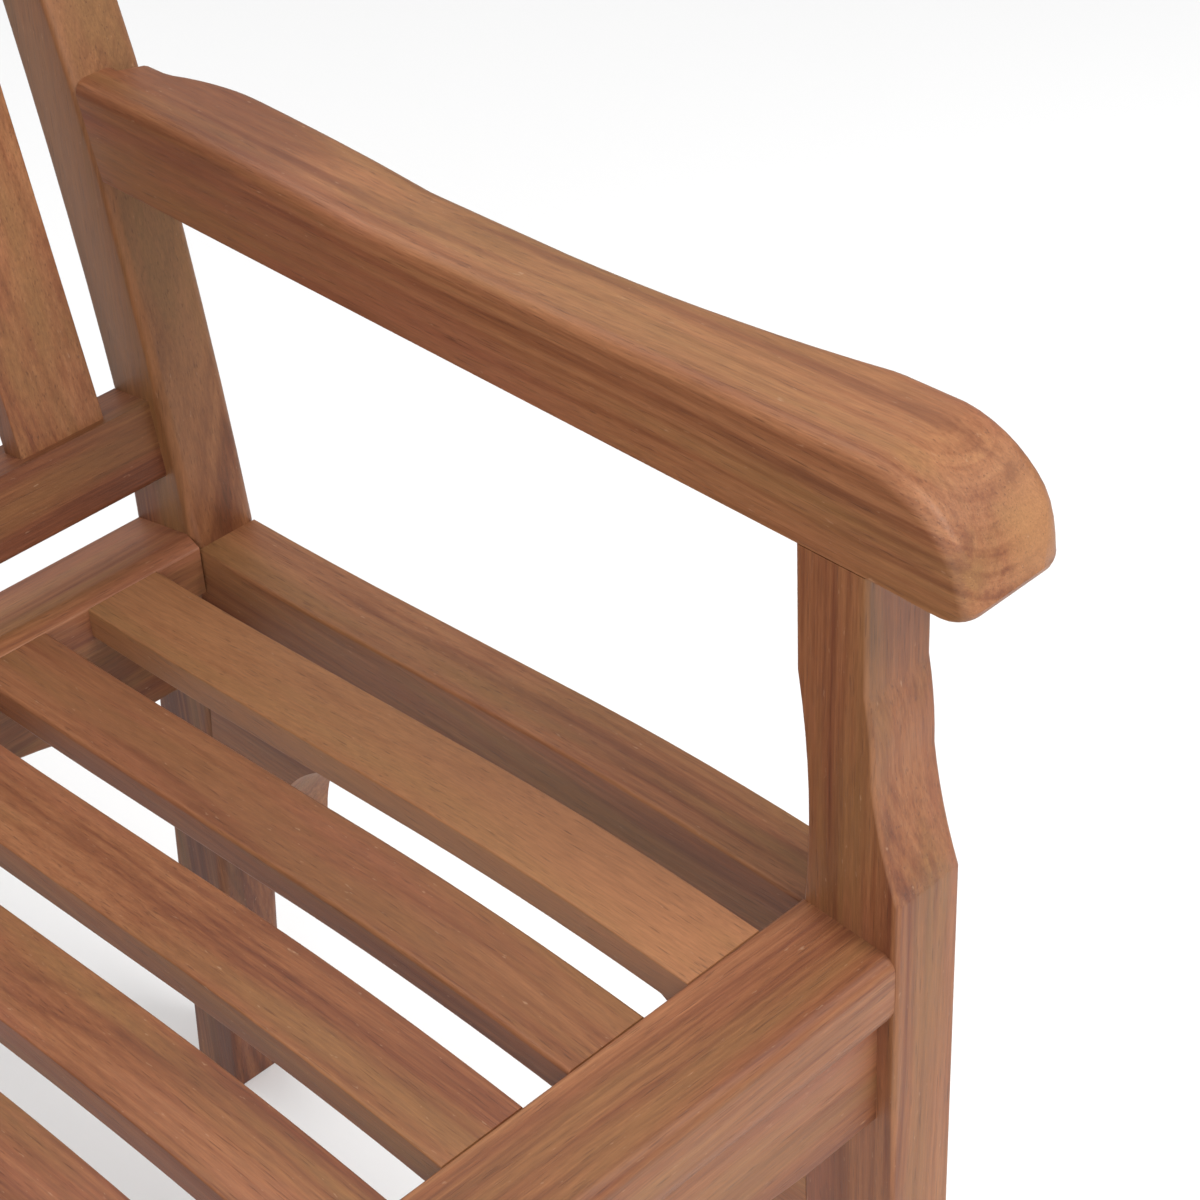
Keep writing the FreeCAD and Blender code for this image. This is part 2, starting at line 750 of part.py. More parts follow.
doc.recompute()
for item in doc.Objects:
    if "Invalid" in item.State or "Error" in item.State:
        raise RuntimeError("%s failed: %s" % (item.Label, item.State))
for piece in pieces:
    if piece.Shape.isNull() or not piece.Shape.isValid():
        raise RuntimeError(piece.Label + " has no valid shape")
    if len(piece.Shape.Solids) != 1:
        raise RuntimeError("%s is %d solids" % (piece.Label, len(piece.Shape.Solids)))

os.makedirs("parts", exist_ok=True)
for piece in pieces:
    piece.Shape.exportStep("parts/%s.step" % piece.Label)
print(len(pieces), "pieces")
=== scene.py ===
import json
import math
import random
import bmesh
import bpy
from mathutils import Matrix, Vector

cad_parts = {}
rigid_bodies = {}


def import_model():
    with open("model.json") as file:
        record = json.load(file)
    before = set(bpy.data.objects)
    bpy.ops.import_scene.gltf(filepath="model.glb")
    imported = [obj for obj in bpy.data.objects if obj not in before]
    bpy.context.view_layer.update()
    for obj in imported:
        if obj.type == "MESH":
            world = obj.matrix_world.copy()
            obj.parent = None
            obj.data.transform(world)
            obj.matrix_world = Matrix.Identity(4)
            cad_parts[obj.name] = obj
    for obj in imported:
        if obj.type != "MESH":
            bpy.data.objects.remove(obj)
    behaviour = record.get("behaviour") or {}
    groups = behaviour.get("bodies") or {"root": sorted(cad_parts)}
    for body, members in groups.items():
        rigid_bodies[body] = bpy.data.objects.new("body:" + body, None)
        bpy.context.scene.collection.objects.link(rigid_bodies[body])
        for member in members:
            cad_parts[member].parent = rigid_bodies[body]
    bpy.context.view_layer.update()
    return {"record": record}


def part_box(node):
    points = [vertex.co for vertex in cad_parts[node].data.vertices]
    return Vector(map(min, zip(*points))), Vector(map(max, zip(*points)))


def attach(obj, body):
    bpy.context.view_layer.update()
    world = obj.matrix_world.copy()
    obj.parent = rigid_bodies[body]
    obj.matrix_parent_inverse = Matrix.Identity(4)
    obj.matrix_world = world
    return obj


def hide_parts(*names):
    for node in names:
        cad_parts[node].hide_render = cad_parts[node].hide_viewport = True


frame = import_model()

scene = bpy.context.scene
scene.view_settings.view_transform = "Standard"
slotOf = {part["node"]: part["material_slot"] for part in frame["record"]["subparts"]}
mm = 0.001                   # a piece's sizes are in mm, its heart and its tints in metres

camera = {
    "place": (-0.1107, -0.8335, 1.2393),
    "azimuth": 42.70,        # degrees from +Y towards +X
    "elevation": 36.53,      # degrees below the horizon
    "roll": -3.27,
    "lens": 87.16,
    "sensor": 36.0,
}

studio = {
    "floorSize": 16.0,
    "floorColour": (0.88, 0.88, 0.88, 1),
    "floorRoughness": 0.9,
    "skyColour": (1.0, 1.0, 1.0, 1),
    "skyStrength": 0.50,
    "lamps": {               # place, size, watts
        "key": ((0.9, -2.1, 2.9), 1.5, 94.0),
        "fill": ((-2.6, -1.6, 1.8), 2.6, 66.0),
        "back": ((0.6, 1.6, 3.2), 2.4, 40.0),
    },
    "aim": (0.35, -0.05, 0.5),
}


def makeCamera(spec):
    azimuth = math.radians(spec["azimuth"])
    elevation = math.radians(spec["elevation"])
    level = math.cos(elevation)
    east, north = math.sin(azimuth) * level, math.cos(azimuth) * level
    ahead = Vector((east, north, -math.sin(elevation)))
    right = ahead.cross(Vector((0, 0, 1))).normalized()
    turn = Matrix((right, right.cross(ahead), -ahead)).transposed().to_4x4()
    roll = Matrix.Rotation(math.radians(spec["roll"]), 4, "Z")
    data = bpy.data.cameras.new("camera")
    data.lens = spec["lens"]
    data.sensor_width = spec["sensor"]
    holder = bpy.data.objects.new("camera", data)
    holder.matrix_world = Matrix.Translation(spec["place"]) @ turn @ roll
    scene.collection.objects.link(holder)
    scene.camera = holder


def makeFloor(spec):
    bm = bmesh.new()
    bmesh.ops.create_grid(bm, x_segments=4, y_segments=4, size=spec["floorSize"] / 2)
    mesh = bpy.data.meshes.new("floor")
    bm.to_mesh(mesh)
    bm.free()
    paint = bpy.data.materials.new("paleFloor")
    paint.use_nodes = True
    shader = paint.node_tree.nodes["Principled BSDF"]
    shader.inputs["Base Color"].default_value = spec["floorColour"]
    shader.inputs["Roughness"].default_value = spec["floorRoughness"]
    mesh.materials.append(paint)
    holder = bpy.data.objects.new("floor", mesh)
    scene.collection.objects.link(holder)


def makeLights(spec):
    for name, (place, size, watts) in spec["lamps"].items():
        lamp = bpy.data.lights.new(name, "AREA")
        lamp.energy = watts
        lamp.size = size
        holder = bpy.data.objects.new(name, lamp)
        aim = (Vector(spec["aim"]) - Vector(place)).to_track_quat("-Z", "Y")
        holder.matrix_world = Matrix.Translation(place) @ aim.to_matrix().to_4x4()
        scene.collection.objects.link(holder)
    world = bpy.data.worlds.new("sky")
    world.use_nodes = True
    glow = world.node_tree.nodes["Background"]
    glow.inputs["Color"].default_value = spec["skyColour"]
    glow.inputs["Strength"].default_value = spec["skyStrength"]
    scene.world = world


makeCamera(camera)
makeFloor(studio)
makeLights(studio)
print("camera, floor and lights are set")

teak = {
    "dark": (0.057, 0.018, 0.008, 1),
    "red": (0.131, 0.039, 0.016, 1),
    "brown": (0.205, 0.073, 0.028, 1),
    "tan": (0.276, 0.113, 0.047, 1),
    "honey": (0.340, 0.160, 0.064, 1),
    "pink": (0.249, 0.087, 0.046, 1),
    "olive": (0.208, 0.102, 0.035, 1),
    "pale": (0.442, 0.276, 0.167, 1),
    "stops": (0.30, 0.41, 0.48, 0.56, 0.68),
    "rings": 0.16,           # how much each layer of the figure shows
    "broad": 0.17,
    "streaks": 0.27,
    "clouds": 0.28,
    "smooth": 0.42,          # roughness of the closest fibres, and of the open ones
    "open": 0.60,
    "specular": 0.38,
    "wander": 0.014,         # metres that the rings stray
    "tilt": 0.8,             # degrees that the grain may run off a board's line
    "patchSwing": 2.5,       # how ragged the edge of a patch is
    "poreShade": 0.45,
    "poreDepth": 0.7,
    "bumpStrength": 0.35,
    "bumpHeight": 0.3,       # mm
}

# noises drawn out along the grain: counts per metre along and across it, detail, roughness
fibreCounts = {
    "stray": (2.4, 9.0, 2.0, 0.45),
    "streaks": (7.0, 300.0, 5.0, 0.68),
    "clouds": (2.4, 15.0, 3.0, 0.5),
    "tints": (3.6, 19.0, 3.0, 0.5),
    "veins": (4.0, 46.0, 3.0, 0.5),
    "lines": (2.6, 85.0, 2.0, 0.5),
    "fibres": (70.0, 1100.0, 4.0, 0.70),
    "pores": (55.0, 1500.0, 1.0, 0.5),
    "flecks": (160.0, 620.0, 2.0, 0.5),
}

# growth rings: counts per metre out from the heart, detail, roughness
ringCounts = {"rings": (260.0, 4.0, 0.62), "broad": (40.0, 2.0, 0.5)}

# how much shows at a low and at a high value of the noise
shows = {
    "pink": [(0.36, 0.60), (0.50, 0.0)],
    "olive": [(0.48, 0.0), (0.66, 0.60)],
    "lines": [(0.30, 0.55), (0.39, 0.0)],
    "pores": [(0.27, 1.0), (0.36, 0.0)],
    "flecks": [(0.70, 0.0), (0.80, 0.4)],
    "fibres": [(0.25, 0.76), (0.75, 1.22)],
    # the paler arrises: partly sanding wear, partly a painted highlight
    "wearAndHighlight": [(0.38, 0.05), (0.62, 0.40)],
}

# turns that lay the grain, which runs along the material's own X, along an axis of the bench
grainTurn = {"X": (0, 0, 0), "Y": (0, 0, -math.pi / 2), "Z": (0, math.pi / 2, 0)}


def addNode(tree, kind, feeds=None, **settings):
    made = tree.nodes.new("ShaderNode" + kind)
    for name, value in settings.items():
        setattr(made, name, value)
    for socket, value in (feeds or {}).items():
        feed(tree, made.inputs[socket], value)
    return made


def feed(tree, socket, value):
    if isinstance(value, bpy.types.NodeSocket):
        tree.links.new(value, socket)
    else:
        socket.default_value = value


def maths(tree, operation, a, b):
    return addNode(tree, "Math", {0: a, 1: b}, operation=operation).outputs[0]


def vectors(tree, operation, a, b):
    return addNode(tree, "VectorMath", {0: a, 1: b}, operation=operation).outputs[0]


def blend(tree, share, a, b, mode="MIX"):
    made = addNode(tree, "Mix", {0: share, 6: a, 7: b}, data_type="RGBA", blend_type=mode)
    return made.outputs[2]


def ramp(tree, value, stops):
    made = addNode(tree, "ValToRGB", {0: value})
    points = made.color_ramp.elements
    while len(points) < len(stops):
        points.new(0.5)
    for point, (place, colour) in zip(points, stops):
        point.position = place
        point.color = colour if hasattr(colour, "__len__") else (colour, colour, colour, 1)
    return made.outputs[0]


def fibreNoise(tree, vector, layer):
    along, across, detail, roughness = fibreCounts[layer]
    drawn = vectors(tree, "MULTIPLY", vector, (along, across, across))
    feeds = {"Vector": drawn, "Scale": 1.0, "Detail": detail, "Roughness": roughness}
    return addNode(tree, "TexNoise", feeds)


def ringNoise(tree, radius, layer, seed):
    count, detail, roughness = ringCounts[layer]
    place = maths(tree, "ADD", radius, seed)
    feeds = {"W": place, "Scale": count, "Detail": detail, "Roughness": roughness}
    return addNode(tree, "TexNoise", feeds, noise_dimensions="1D").outputs[0]


def swing(tree, noise, share):
    # a noise's swing about its middle
    return maths(tree, "MULTIPLY", maths(tree, "SUBTRACT", noise, 0.5), share)


def makeTeak(name, centre, grain, heart, seed, tone=0.0, wander=1.0, figure=1.0, patches=()):
    # solid wood: rings round a heart that lies off the board, with fibres and pores along them
    draw = random.Random(seed)
    material = bpy.data.materials.new(name)
    material.use_nodes = True
    tree = material.node_tree
    shader = tree.nodes["Principled BSDF"]
    bench = addNode(tree, "TexCoord").outputs["Object"]
    place = vectors(tree, "SUBTRACT", bench, tuple(centre))
    laid = addNode(tree, "Mapping", {"Vector": place, "Rotation": grainTurn[grain]}).outputs[0]
    tilt = [math.radians(draw.uniform(-teak["tilt"], teak["tilt"])) for axis in range(2)]
    shift = (draw.uniform(3, 40), 0, 0)
    feeds = {"Vector": laid, "Rotation": (0, *tilt), "Location": shift}
    laid = addNode(tree, "Mapping", feeds).outputs[0]

    # the rings wander a few millimetres as the tree grew
    stray = fibreNoise(tree, laid, "stray").outputs["Color"]
    stray = vectors(tree, "SUBTRACT", stray, (0.5, 0.5, 0.5))
    reach = teak["wander"] * wander
    stray = vectors(tree, "MULTIPLY", stray, (reach, reach, reach))
    grown = vectors(tree, "ADD", laid, stray)

    # distance from the heart, across the grain
    fromHeart = vectors(tree, "SUBTRACT", grown, (0, *heart))
    split = addNode(tree, "SeparateXYZ", {0: fromHeart})
    flat = addNode(tree, "CombineXYZ", {1: split.outputs[1], 2: split.outputs[2]}).outputs[0]
    radius = addNode(tree, "VectorMath", {0: flat}, operation="LENGTH").outputs["Value"]

    layers = {
        "rings": ringNoise(tree, radius, "rings", draw.uniform(0, 9)),
        "broad": ringNoise(tree, radius, "broad", draw.uniform(0, 9)),
        "streaks": fibreNoise(tree, grown, "streaks").outputs[0],
        "clouds": fibreNoise(tree, laid, "clouds").outputs[0],
    }
    mixed = 0.5 + tone
    for layer, noise in layers.items():
        share = teak[layer] * (figure if layer in ringCounts else 1)
        mixed = maths(tree, "ADD", swing(tree, noise, share), mixed)
    shades = [teak[shade] for shade in ("dark", "red", "brown", "tan", "honey")]
    wood = ramp(tree, mixed, list(zip(teak["stops"], shades)))

    # warm, pink and olive parts of the board
    tints = fibreNoise(tree, laid, "tints").outputs[0]
    wood = blend(tree, ramp(tree, tints, shows["pink"]), wood, teak["pink"])
    veins = fibreNoise(tree, grown, "veins").outputs[0]
    wood = blend(tree, ramp(tree, veins, shows["olive"]), wood, teak["olive"])
    lines = fibreNoise(tree, grown, "lines").outputs[0]
    wood = blend(tree, ramp(tree, lines, shows["lines"]), wood, teak["red"])
    for spot, size, shade, share in patches:
        away = vectors(tree, "DIVIDE", vectors(tree, "SUBTRACT", bench, spot), size)
        away = addNode(tree, "VectorMath", {0: away}, operation="LENGTH").outputs["Value"]
        away = maths(tree, "ADD", away, swing(tree, tints, teak["patchSwing"]))
        wood = blend(tree, ramp(tree, away, [(0.25, share), (1.0, 0.0)]), wood, teak[shade])

    fibres = fibreNoise(tree, grown, "fibres").outputs[0]
    pores = ramp(tree, fibreNoise(tree, grown, "pores").outputs[0], shows["pores"])
    flecks = ramp(tree, fibreNoise(tree, grown, "flecks").outputs[0], shows["flecks"])
    wood = blend(tree, 1.0, wood, ramp(tree, fibres, shows["fibres"]), "MULTIPLY")
    wood = blend(tree, maths(tree, "MULTIPLY", pores, teak["poreShade"]), wood, teak["dark"])
    wood = blend(tree, flecks, wood, teak["pale"])

    # arrises are painted paler than the faces: partly sanding wear, partly a painted highlight
    # along the rounded edges
    arris = addNode(tree, "Attribute", attribute_name="arris").outputs["Fac"]
    wearAndHighlight = maths(tree, "MULTIPLY", arris, ramp(tree, layers["streaks"], shows["wearAndHighlight"]))
    wood = blend(tree, wearAndHighlight, wood, teak["tan"])

    # open fibres shine less than close ones
    fine, coarse = maths(tree, "MULTIPLY", fibres, 0.6), maths(tree, "MULTIPLY", tints, 0.4)
    closeness = maths(tree, "ADD", fine, coarse)
    rough = ramp(tree, closeness, [(0.3, teak["smooth"]), (0.7, teak["open"])])
    feed(tree, shader.inputs["Base Color"], wood)
    feed(tree, shader.inputs["Roughness"], rough)
    shader.inputs["Specular IOR Level"].default_value = teak["specular"]
    relief = maths(tree, "SUBTRACT", fibres, maths(tree, "MULTIPLY", pores, teak["poreDepth"]))
    height = teak["bumpHeight"] * mm
    feeds = {"Strength": teak["bumpStrength"], "Distance": height, "Height": relief}
    bump = addNode(tree, "Bump", feeds)
    feed(tree, shader.inputs["Normal"], bump.outputs["Normal"])
    return material


meshing = {
    "weld": 0.02,            # mm between corners that are one corner
    "flat": 0.5,             # degrees between faces that are one face
    "smooth": 35,            # degrees up to which faces are shaded as one
    "crisp": 25,             # degrees from which two faces make an arris
}


def mergedCopy(node):
    bm = bmesh.new()
    bm.from_mesh(bpy.data.objects[node].data)
    bmesh.ops.remove_doubles(bm, verts=bm.verts, dist=meshing["weld"] * mm)
    flat = math.radians(meshing["flat"])
    bmesh.ops.dissolve_limit(bm, angle_limit=flat, verts=bm.verts, edges=bm.edges)
    return bm


def allOf(bm):
    return bm.verts[:] + bm.edges[:] + bm.faces[:]


def towards(axis, length=1.0):
    return Vector([length if index == axis else 0 for index in range(3)])


def cutLine(node, axis, place):
    # the edges along which a plane across the axis cuts the node
    bm = mergedCopy(node)
    bmesh.ops.bisect_plane(
        bm, geom=allOf(bm), plane_co=towards(axis, place), plane_no=towards(axis),
        clear_inner=True, clear_outer=True,
    )
    return bm


def section(node, axis, place):
    bm = cutLine(node, axis, place)
    bmesh.ops.contextual_create(bm, geom=bm.edges[:])
    return bm


def sawn(node, axis, start, low, high):
    # the node's outline at start, as a board from low to high along the axis
    bm = section(node, axis, start)
    bmesh.ops.translate(bm, verts=bm.verts[:], vec=towards(axis, low - start))
    made = bmesh.ops.extrude_face_region(bm, geom=bm.faces[:])
    moved = [item for item in made["geom"] if isinstance(item, bmesh.types.BMVert)]
    bmesh.ops.translate(bm, verts=moved, vec=towards(axis, high - low))
    bmesh.ops.recalc_face_normals(bm, faces=bm.faces[:])
    return bm


def corners(bm, wanted, angle=meshing["crisp"]):
    # edges sharper than the angle that wanted() picks by their middle and their direction
    found = []
    for edge in bm.edges:
        if len(edge.link_faces) == 2 and edge.calc_face_angle() > math.radians(angle):
            start, end = edge.verts[0].co, edge.verts[1].co
            if wanted((start + end) / 2, (end - start).normalized()):
                found.append(edge)
    return found


def ease(bm, edges, radius, segments=4):
    layer = bm.verts.layers.float.get("arris") or bm.verts.layers.float.new("arris")
    made = bmesh.ops.bevel(
        bm, geom=edges, offset=radius, offset_type="OFFSET", segments=segments, profile=0.5,
        affect="EDGES", material=-1, clamp_overlap=True, loop_slide=True,
    )
    faces = set(made["faces"])
    # the rounded arrises get the arris mark, which the wood paints paler as wear and painted
    # highlight
    for vert in made["verts"]:
        if all(face in faces for face in vert.link_faces):
            vert[layer] = 1.0


def finishPiece(bm, name, node, material):
    bmesh.ops.recalc_face_normals(bm, faces=bm.faces[:])
    if not bm.verts.layers.float.get("arris"):
        bm.verts.layers.float.new("arris")
    mesh = bpy.data.meshes.new(name)
    bm.to_mesh(mesh)
    bm.free()
    mesh.shade_smooth()
    mesh.set_sharp_from_angle(angle=math.radians(meshing["smooth"]))
    mesh.materials.append(material)
    piece = bpy.data.objects.new(name, mesh)
    scene.collection.objects.link(piece)
    even = piece.modifiers.new("even", "WEIGHTED_NORMAL")
    even.keep_sharp = True
    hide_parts(node)
    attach(piece, "root")


def middle(node):
    low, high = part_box(node)
    return (Vector(low) + Vector(high)) / 2


sides = ("right", "left")


def outerFace(side, low, high, inset):
    return high[0] - inset if side == "right" else low[0] + inset


frontLeg = {
    "clear": 4.0,            # how far in from the outer face the joints are still clear
    "arris": 5.0,
    "foot": 2.0,
    "hearts": {"right": (-0.060, 0.035), "left": (0.055, -0.045)},
    "seed": 11,
}


def makeFrontLeg(side, spec):
    node = "front_leg_" + side
    low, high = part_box(node)
    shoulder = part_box("armrest_" + side)[0][2]
    bm = sawn(node, 0, outerFace(side, low, high, spec["clear"] * mm), low[0], high[0])
    # the tenon on top is inside the arm
    bmesh.ops.bisect_plane(
        bm, geom=allOf(bm), plane_co=(0, 0, shoulder), plane_no=(0, 0, 1), clear_outer=True
    )
    bmesh.ops.contextual_create(bm, geom=[edge for edge in bm.edges if edge.is_boundary])
    upright = lambda spot, way: abs(way.x) < 0.1 and low[2] + mm < spot.z < shoulder - mm
    ease(bm, corners(bm, upright), spec["arris"] * mm)
    ease(bm, corners(bm, lambda spot, way: spot.z < low[2] + 0.1 * mm), spec["foot"] * mm, 2)
    wood = makeTeak("teakFrontLeg" + side.capitalize(), middle(node), "Z",
                    spec["hearts"][side], spec["seed"])
    finishPiece(bm, "frontLeg" + side.capitalize(), node, wood)


rearLeg = {
    "clear": 4.0,
    "arris": 5.0,
    "foot": 2.0,
    "hearts": {"right": (0.085, 0.050), "left": (-0.070, 0.060)},
    "tone": -0.05,
    "figure": 1.3,
    "seed": 27,
    "oliveBehind": 0.30,     # metres from the arm's middle and above the seat
    "oliveAbove": 0.14,
    "oliveSize": (0.09, 0.14, 0.22),
}


def makeRearLeg(side, spec):
    node = "rear_leg_" + side
    low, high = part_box(node)
    bm = sawn(node, 0, outerFace(side, low, high, spec["clear"] * mm), low[0], high[0])
    upright = lambda spot, way: abs(way.x) < 0.1 and spot.z > low[2] + mm
    ease(bm, corners(bm, upright), spec["arris"] * mm)
    ease(bm, corners(bm, lambda spot, way: spot.z < low[2] + 0.1 * mm), spec["foot"] * mm, 2)
    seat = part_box("rear_rail")[1][2]
    behind = middle("armrest_" + side).y + spec["oliveBehind"]
    upper = ((low[0] + high[0]) / 2, behind, seat + spec["oliveAbove"])
    wood = makeTeak("teakRearLeg" + side.capitalize(), middle(node), "Z",
                    spec["hearts"][side], spec["seed"], tone=spec["tone"], figure=spec["figure"],
                    patches=[(upper, spec["oliveSize"], "olive", 0.55)])
    finishPiece(bm, "rearLeg" + side.capitalize(), node, wood)


armrest = {
    "over": 7.0,             # arris radii, above and below
    "under": 0.8,
    "width": 52.0,           # of the bar that is bent to the arm's shape
    "thick": 49.0,
    "length": 500.0,
    "cuts": 100,
    "straight": 0.83,        # share of the bar behind the nose, and down to its chin
    "rolled": 0.94,
    "hub": 50.0,             # from the nose to the point that it rolls round
    "hubRise": 2.0,          # and from the underside up to that point
    "chin": 9.0,             # radius under the nose
    "chinBack": 2.4,         # of those radii from the nose to the end of the flat underside
    "chinTurn": 0.46,        # half turns that the arc under the nose goes through
    "plan": 12.0,            # above the underside, where the outline seen from above is taken
    "tail": 20.0,            # above the underside: corners over this are the upper edge's
    "hearts": {"right": (-0.004, 0.048), "left": (0.006, 0.052)},
    "wander": 1.6,
    "figure": 1.5,
    "seed": 37,
}


def linesOf(node, axis, place):
    bm = cutLine(node, axis, place)
    lines = [(edge.verts[0].co.copy(), edge.verts[1].co.copy()) for edge in bm.edges]
    bm.free()
    return lines


def spanAt(lines, along, across, place):
    # the lowest and highest place across some lines, at one place along them
    found = []
    for start, end in lines:
        if start[along] != end[along] and (start[along] - place) * (end[along] - place) <= 0:
            share = (place - start[along]) / (end[along] - start[along])
            found.append(start[across] + share * (end[across] - start[across]))
    return min(found), max(found)


def between(start, end, share):
    return start + (end - start) * share


def makeBar(spec):
    bm = bmesh.new()
    length, width, thick = spec["length"] * mm, spec["width"] * mm, spec["thick"] * mm
    size = Matrix.Diagonal((length, width, thick, 1))
    bmesh.ops.create_cube(bm, size=1, matrix=size @ Matrix.Translation((0.5, 0.5, 0.5)))
    above = lambda spot, way: abs(way.x) > 0.9 and spot.z > thick / 2
    below = lambda spot, way: abs(way.x) > 0.9 and spot.z < mm
    ease(bm, corners(bm, above), spec["over"] * mm, 5)
    ease(bm, corners(bm, below, 60), spec["under"] * mm, 2)
    for step in range(1, spec["cuts"]):
        place = (length * step / spec["cuts"], 0, 0)
        bmesh.ops.bisect_plane(bm, geom=allOf(bm), plane_co=place, plane_no=(1, 0, 0))
    return bm


def makeArmrest(side, spec):
    node = "armrest_" + side
    low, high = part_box(node)
    outward = 1 if side == "right" else -1
    inner, outer = (low[0], high[0]) if side == "right" else (high[0], low[0])
    nose, floor = low[1], low[2]
    flank = linesOf(node, 0, inner + outward * mm)
    plan = linesOf(node, 2, floor + spec["plan"] * mm)
    ends = [spot.y for line in plan for spot in line]
    spots = [spot for line in flank for spot in line]
    tailLow = max(spot.y for spot in spots if spot.z < floor + mm)
    tailHigh = max(spot.y for spot in spots if spot.z > floor + spec["tail"] * mm) - 0.01 * mm
    hub = Vector((0, nose + spec["hub"] * mm, floor + spec["hubRise"] * mm))
    straight, rolled, chin = spec["straight"], spec["rolled"], spec["chin"] * mm

    def rim(share):
        # the arm's upper and lower edge where a share of the bar has passed
        if share <= straight:
            part = share / straight
            top, bottom = between(tailHigh, hub.y, part), between(tailLow, hub.y, part)
            return Vector((0, top, spanAt(flank, 1, 2, top)[1])), Vector((0, bottom, floor))
        part = (share - straight) / (1 - straight)
        bottom = Vector((0, between(hub.y, nose + spec["chinBack"] * chin, part), floor))
        if share > rolled:
            part = (share - rolled) / (1 - rolled)
            turn = between(math.pi, (1 + spec["chinTurn"]) * math.pi, part)
            curve = Vector((0, math.cos(turn) + 1, math.sin(turn) + 1)) * chin
            return Vector((0, nose, floor)) + curve, bottom
        lowest = math.atan2(chin - spec["hubRise"] * mm, spec["hub"] * mm)
        turn = between(math.pi / 2, lowest, (share - straight) / (rolled - straight))
        ray = Vector((0, -math.cos(turn), math.sin(turn)))
        square = Vector((0, math.sin(turn), math.cos(turn)))
        turned = [[((spot - hub).dot(ray), (spot - hub).dot(square)) for spot in line]
                  for line in flank]
        return hub + ray * spanAt(turned, 1, 0, 0)[1], bottom

    bm = makeBar(spec)
    length, width, thick = spec["length"] * mm, spec["width"] * mm, spec["thick"] * mm
    first, last = min(ends) + 0.01 * mm, max(ends) - 0.01 * mm
    rims = {}
    for vert in bm.verts:
        along = round(vert.co.x / length, 5)
        if along not in rims:
            rims[along] = rim(along)
        # the arrises keep their radius where the arm narrows
        top, bottom = rims[along]
        rise = (top - bottom).normalized()
        if vert.co.z > thick / 2:
            spot = top - rise * (thick - vert.co.z)
        else:
            spot = bottom + rise * vert.co.z
        reach = spanAt(plan, 1, 0, min(max(spot.y, first), last))
        across = vert.co.y
        spot.x = inner + across * outward
        if across > width / 2:
            spot.x = reach[outward > 0] - (width - across) * outward
        vert.co = spot

    tall = high[2] - floor
    front = between(inner, outer, 0.65), nose + 12 * mm, floor + 24 * mm
    eye = inner + 18 * mm * outward, tailLow - 78 * mm, high[2] - 12 * mm
    rear = between(inner, outer, 0.7), tailLow - 55 * mm, high[2]
    flankLine = inner, nose + 75 * mm, floor + 0.62 * tall
    patches = [
        (front, (0.025, 0.030, 0.030), "honey", 0.75),
        (eye, (0.016, 0.060, 0.014), "dark", 0.45),
        (rear, (0.050, 0.100, 0.022), "red", 0.75),
        (flankLine, (0.007, 0.095, 0.007), "dark", 0.5),
    ]
    wood = makeTeak("teakArmrest" + side.capitalize(), middle(node), "Y",
                    spec["hearts"][side], spec["seed"], wander=spec["wander"],
                    figure=spec["figure"], patches=patches)
    finishPiece(bm, "armrest" + side.capitalize(), node, wood)


sideRail = {
    "innerTop": 8.0,
    "arris": 3.0,
    "hearts": {"right": (0.080, 0.020), "left": (-0.070, 0.030)},
    "tone": 0.01,
    "seed": 41,
    "dip": 30.0,             # the dished top falls less than this
    "streakAhead": 60.0,     # of the rail's middle, and below its top
    "streakBelow": 8.0,
    "streakSize": (4.0, 190.0, 30.0),
}


def makeSideRail(side, spec):
    node = "side_rail_" + side
    low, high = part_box(node)
    outward = 1 if side == "right" else -1
    inner = low[0] if side == "right" else high[0]
    bm = sawn(node, 0, low[0] + mm, low[0], high[0])
    top = max(vert.co.z for vert in bm.verts)
    fromInner = lambda spot, way: abs(spot.x - inner) if abs(way.x) < 0.1 else 0.5 * mm
    topInner = lambda spot, way: (fromInner(spot, way) < 0.1 * mm and abs(way.z) < 0.5
                                  and spot.z > top - spec["dip"] * mm)
    outside = lambda spot, way: fromInner(spot, way) > 20 * mm and abs(way.z) < 0.8
    ease(bm, corners(bm, topInner), spec["innerTop"] * mm, 5)
    ease(bm, corners(bm, outside), spec["arris"] * mm)
    streak = (inner + 0.55 * (high[0] - low[0]) * outward,
              middle(node).y - spec["streakAhead"] * mm, top - spec["streakBelow"] * mm)
    size = tuple(length * mm for length in spec["streakSize"])
    wood = makeTeak("teakSideRail" + side.capitalize(), middle(node), "Y",
                    spec["hearts"][side], spec["seed"], tone=spec["tone"],
                    patches=[(streak, size, "dark", 0.30)])
    finishPiece(bm, "sideRail" + side.capitalize(), node, wood)


rails = {
    "front_rail": {
        "name": "frontRail", "front": 0, "rear": 1.6, "frontUnder": 2.5, "rearUnder": 2.0,
        "heart": (-0.030, -0.085), "tone": -0.02, "tints": [], "seed": 53,
    },
    "rear_rail": {
        "name": "rearRail", "front": 4.5, "rear": 3.0, "frontUnder": 2.0, "rearUnder": 3.0,
        "heart": (0.050, -0.070), "tone": -0.02, "tints": [], "seed": 59,
    },
    "lower_back_rail": {
        "name": "lowerBackRail", "front": 7.0, "rear": 7.0, "frontUnder": 4.0, "rearUnder": 4.0,
        "heart": (0.030, 0.060), "tone": -0.10, "tints": [("red", 0.5)], "seed": 61,
    },
    "top_back_rail": {
        "name": "topBackRail", "front": 7.0, "rear": 7.0, "frontUnder": 4.0, "rearUnder": 4.0,
        "heart": (-0.040, 0.070), "tone": 0.0, "tints": [], "seed": 67,
    },
}
railEnds = {"cut": 5.0, "ease": 0.9}     # outline taken this far short of the leg; arris
railFigure = 1.6
# the long arris that each radius is for: whether it is in front, and whether it is above
railArrises = {
    "front": (True, True),
    "rear": (False, True),
    "frontUnder": (True, False),
    "rearUnder": (False, False),
}


def capital(name):
    return name[0].upper() + name[1:]


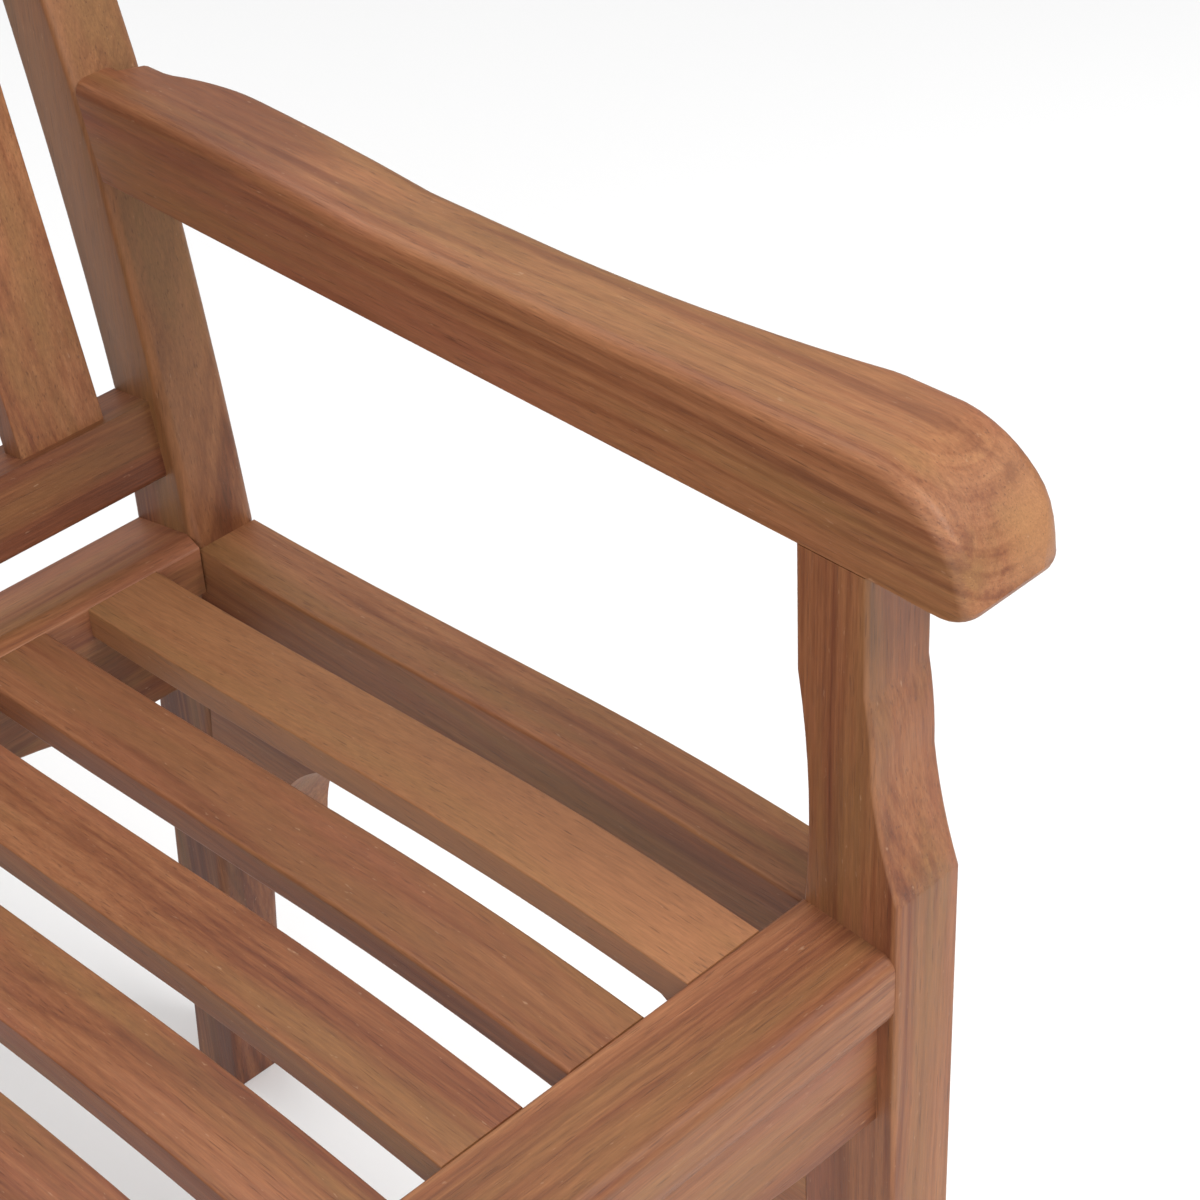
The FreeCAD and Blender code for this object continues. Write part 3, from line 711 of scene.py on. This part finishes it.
def makeRail(node, spec):
    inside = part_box("front_leg_right")[0][0]
    bm = sawn(node, 0, inside - railEnds["cut"] * mm, -inside, inside)
    centre = middle(node)
    for key, (front, upper) in railArrises.items():
        wanted = lambda spot, way: (abs(way.x) > 0.99 and (spot.y < centre.y) == front
                                    and (spot.z > centre.z) == upper)
        edges = corners(bm, wanted, 40)
        if edges and spec[key]:
            ease(bm, edges, spec[key] * mm)
    atEnd = lambda spot, way: abs(abs(spot.x) - inside) < 0.01 * mm
    ease(bm, corners(bm, atEnd), railEnds["ease"] * mm, 2)
    patches = [(tuple(centre), (1.0, 0.1, 0.1), shade, share) for shade, share in spec["tints"]]
    wood = makeTeak("teak" + capital(spec["name"]), centre, "X", spec["heart"], spec["seed"],
                    tone=spec["tone"], figure=railFigure, patches=patches)
    finishPiece(bm, spec["name"], node, wood)


aprons = {
    "front_apron": {
        "name": "frontApron", "chin": 8.0, "arris": 2.5, "heart": (0.060, -0.020), "seed": 71,
    },
    "rear_apron": {
        "name": "rearApron", "chin": 8.0, "arris": 2.5, "heart": (-0.060, 0.020), "seed": 73,
    },
}


def makeApron(node, spec):
    low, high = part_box(node)
    bm = sawn(node, 1, low[1] + mm, low[1], high[1])
    face = low[1] if node == "front_apron" else high[1]
    under = lambda spot, way: abs(way.y) < 0.1 and abs(way.x) > 0.5 and spot.z < high[2] - mm
    shown = lambda spot, way: under(spot, way) and abs(spot.y - face) < 0.1 * mm
    hidden = lambda spot, way: under(spot, way) and abs(spot.y - face) > 15 * mm
    ease(bm, corners(bm, shown), spec["chin"] * mm, 5)
    ease(bm, corners(bm, hidden), spec["arris"] * mm)
    wood = makeTeak("teak" + capital(spec["name"]), middle(node), "X",
                    spec["heart"], spec["seed"])
    finishPiece(bm, spec["name"], node, wood)


seatSlat = {
    "arris": 2.6,
    "softened": {1: 4.0},
    "tints": {1: ("honey", 0.45), 2: ("red", 0.35), 3: ("red", 0.1)},
    "tones": (-0.035, 0.02),
    "seed": 100,
}
backSlat = {"arris": 3.0, "softened": {}, "tints": {}, "tones": (-0.035, 0.015), "seed": 200}
slatHearts = [(0.09, -0.02), (-0.10, 0.03), (0.05, -0.06), (-0.03, -0.08), (0.02, 0.07)]
slatEase = (0.8, 1.2)        # the arris varies between these shares from slat to slat
tintSize = (0.08, 0.45, 0.08)


def makeSlats(kind, name, grain, spec):
    nodes = sorted(node for node in slotOf if node.startswith(kind))
    draw = random.Random(spec["seed"])
    index = {"Y": 1, "Z": 2}[grain]
    lengthwise = lambda spot, way: abs(way.x) < 0.1 and abs(way[index]) > 0.7
    for number, node in enumerate(nodes, 1):
        low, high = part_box(node)
        bm = sawn(node, 0, low[0] + mm, low[0], high[0])
        radius = spec["softened"].get(number, spec["arris"] * draw.uniform(*slatEase))
        ease(bm, corners(bm, lengthwise), radius * mm, 3)
        heart = draw.choice(slatHearts)
        if grain == "Z":
            heart = (heart[1], heart[0])
        patches = []
        if number in spec["tints"]:
            patches = [(tuple(middle(node)), tintSize, *spec["tints"][number])]
        wood = makeTeak("teak" + capital(name) + "%02d" % number, middle(node), grain, heart,
                        spec["seed"] + number, tone=draw.uniform(*spec["tones"]), patches=patches)
        finishPiece(bm, name + "%02d" % number, node, wood)


for side in sides:
    makeFrontLeg(side, frontLeg)
    makeRearLeg(side, rearLeg)
    makeArmrest(side, armrest)
    makeSideRail(side, sideRail)
print("legs, arms and side rails are made")
for node, spec in rails.items():
    makeRail(node, spec)
for node, spec in aprons.items():
    makeApron(node, spec)
print("rails and aprons are made")
makeSlats("seat_slat", "seatSlat", "Y", seatSlat)
makeSlats("back_slat", "backSlat", "Z", backSlat)
print("slats are made")
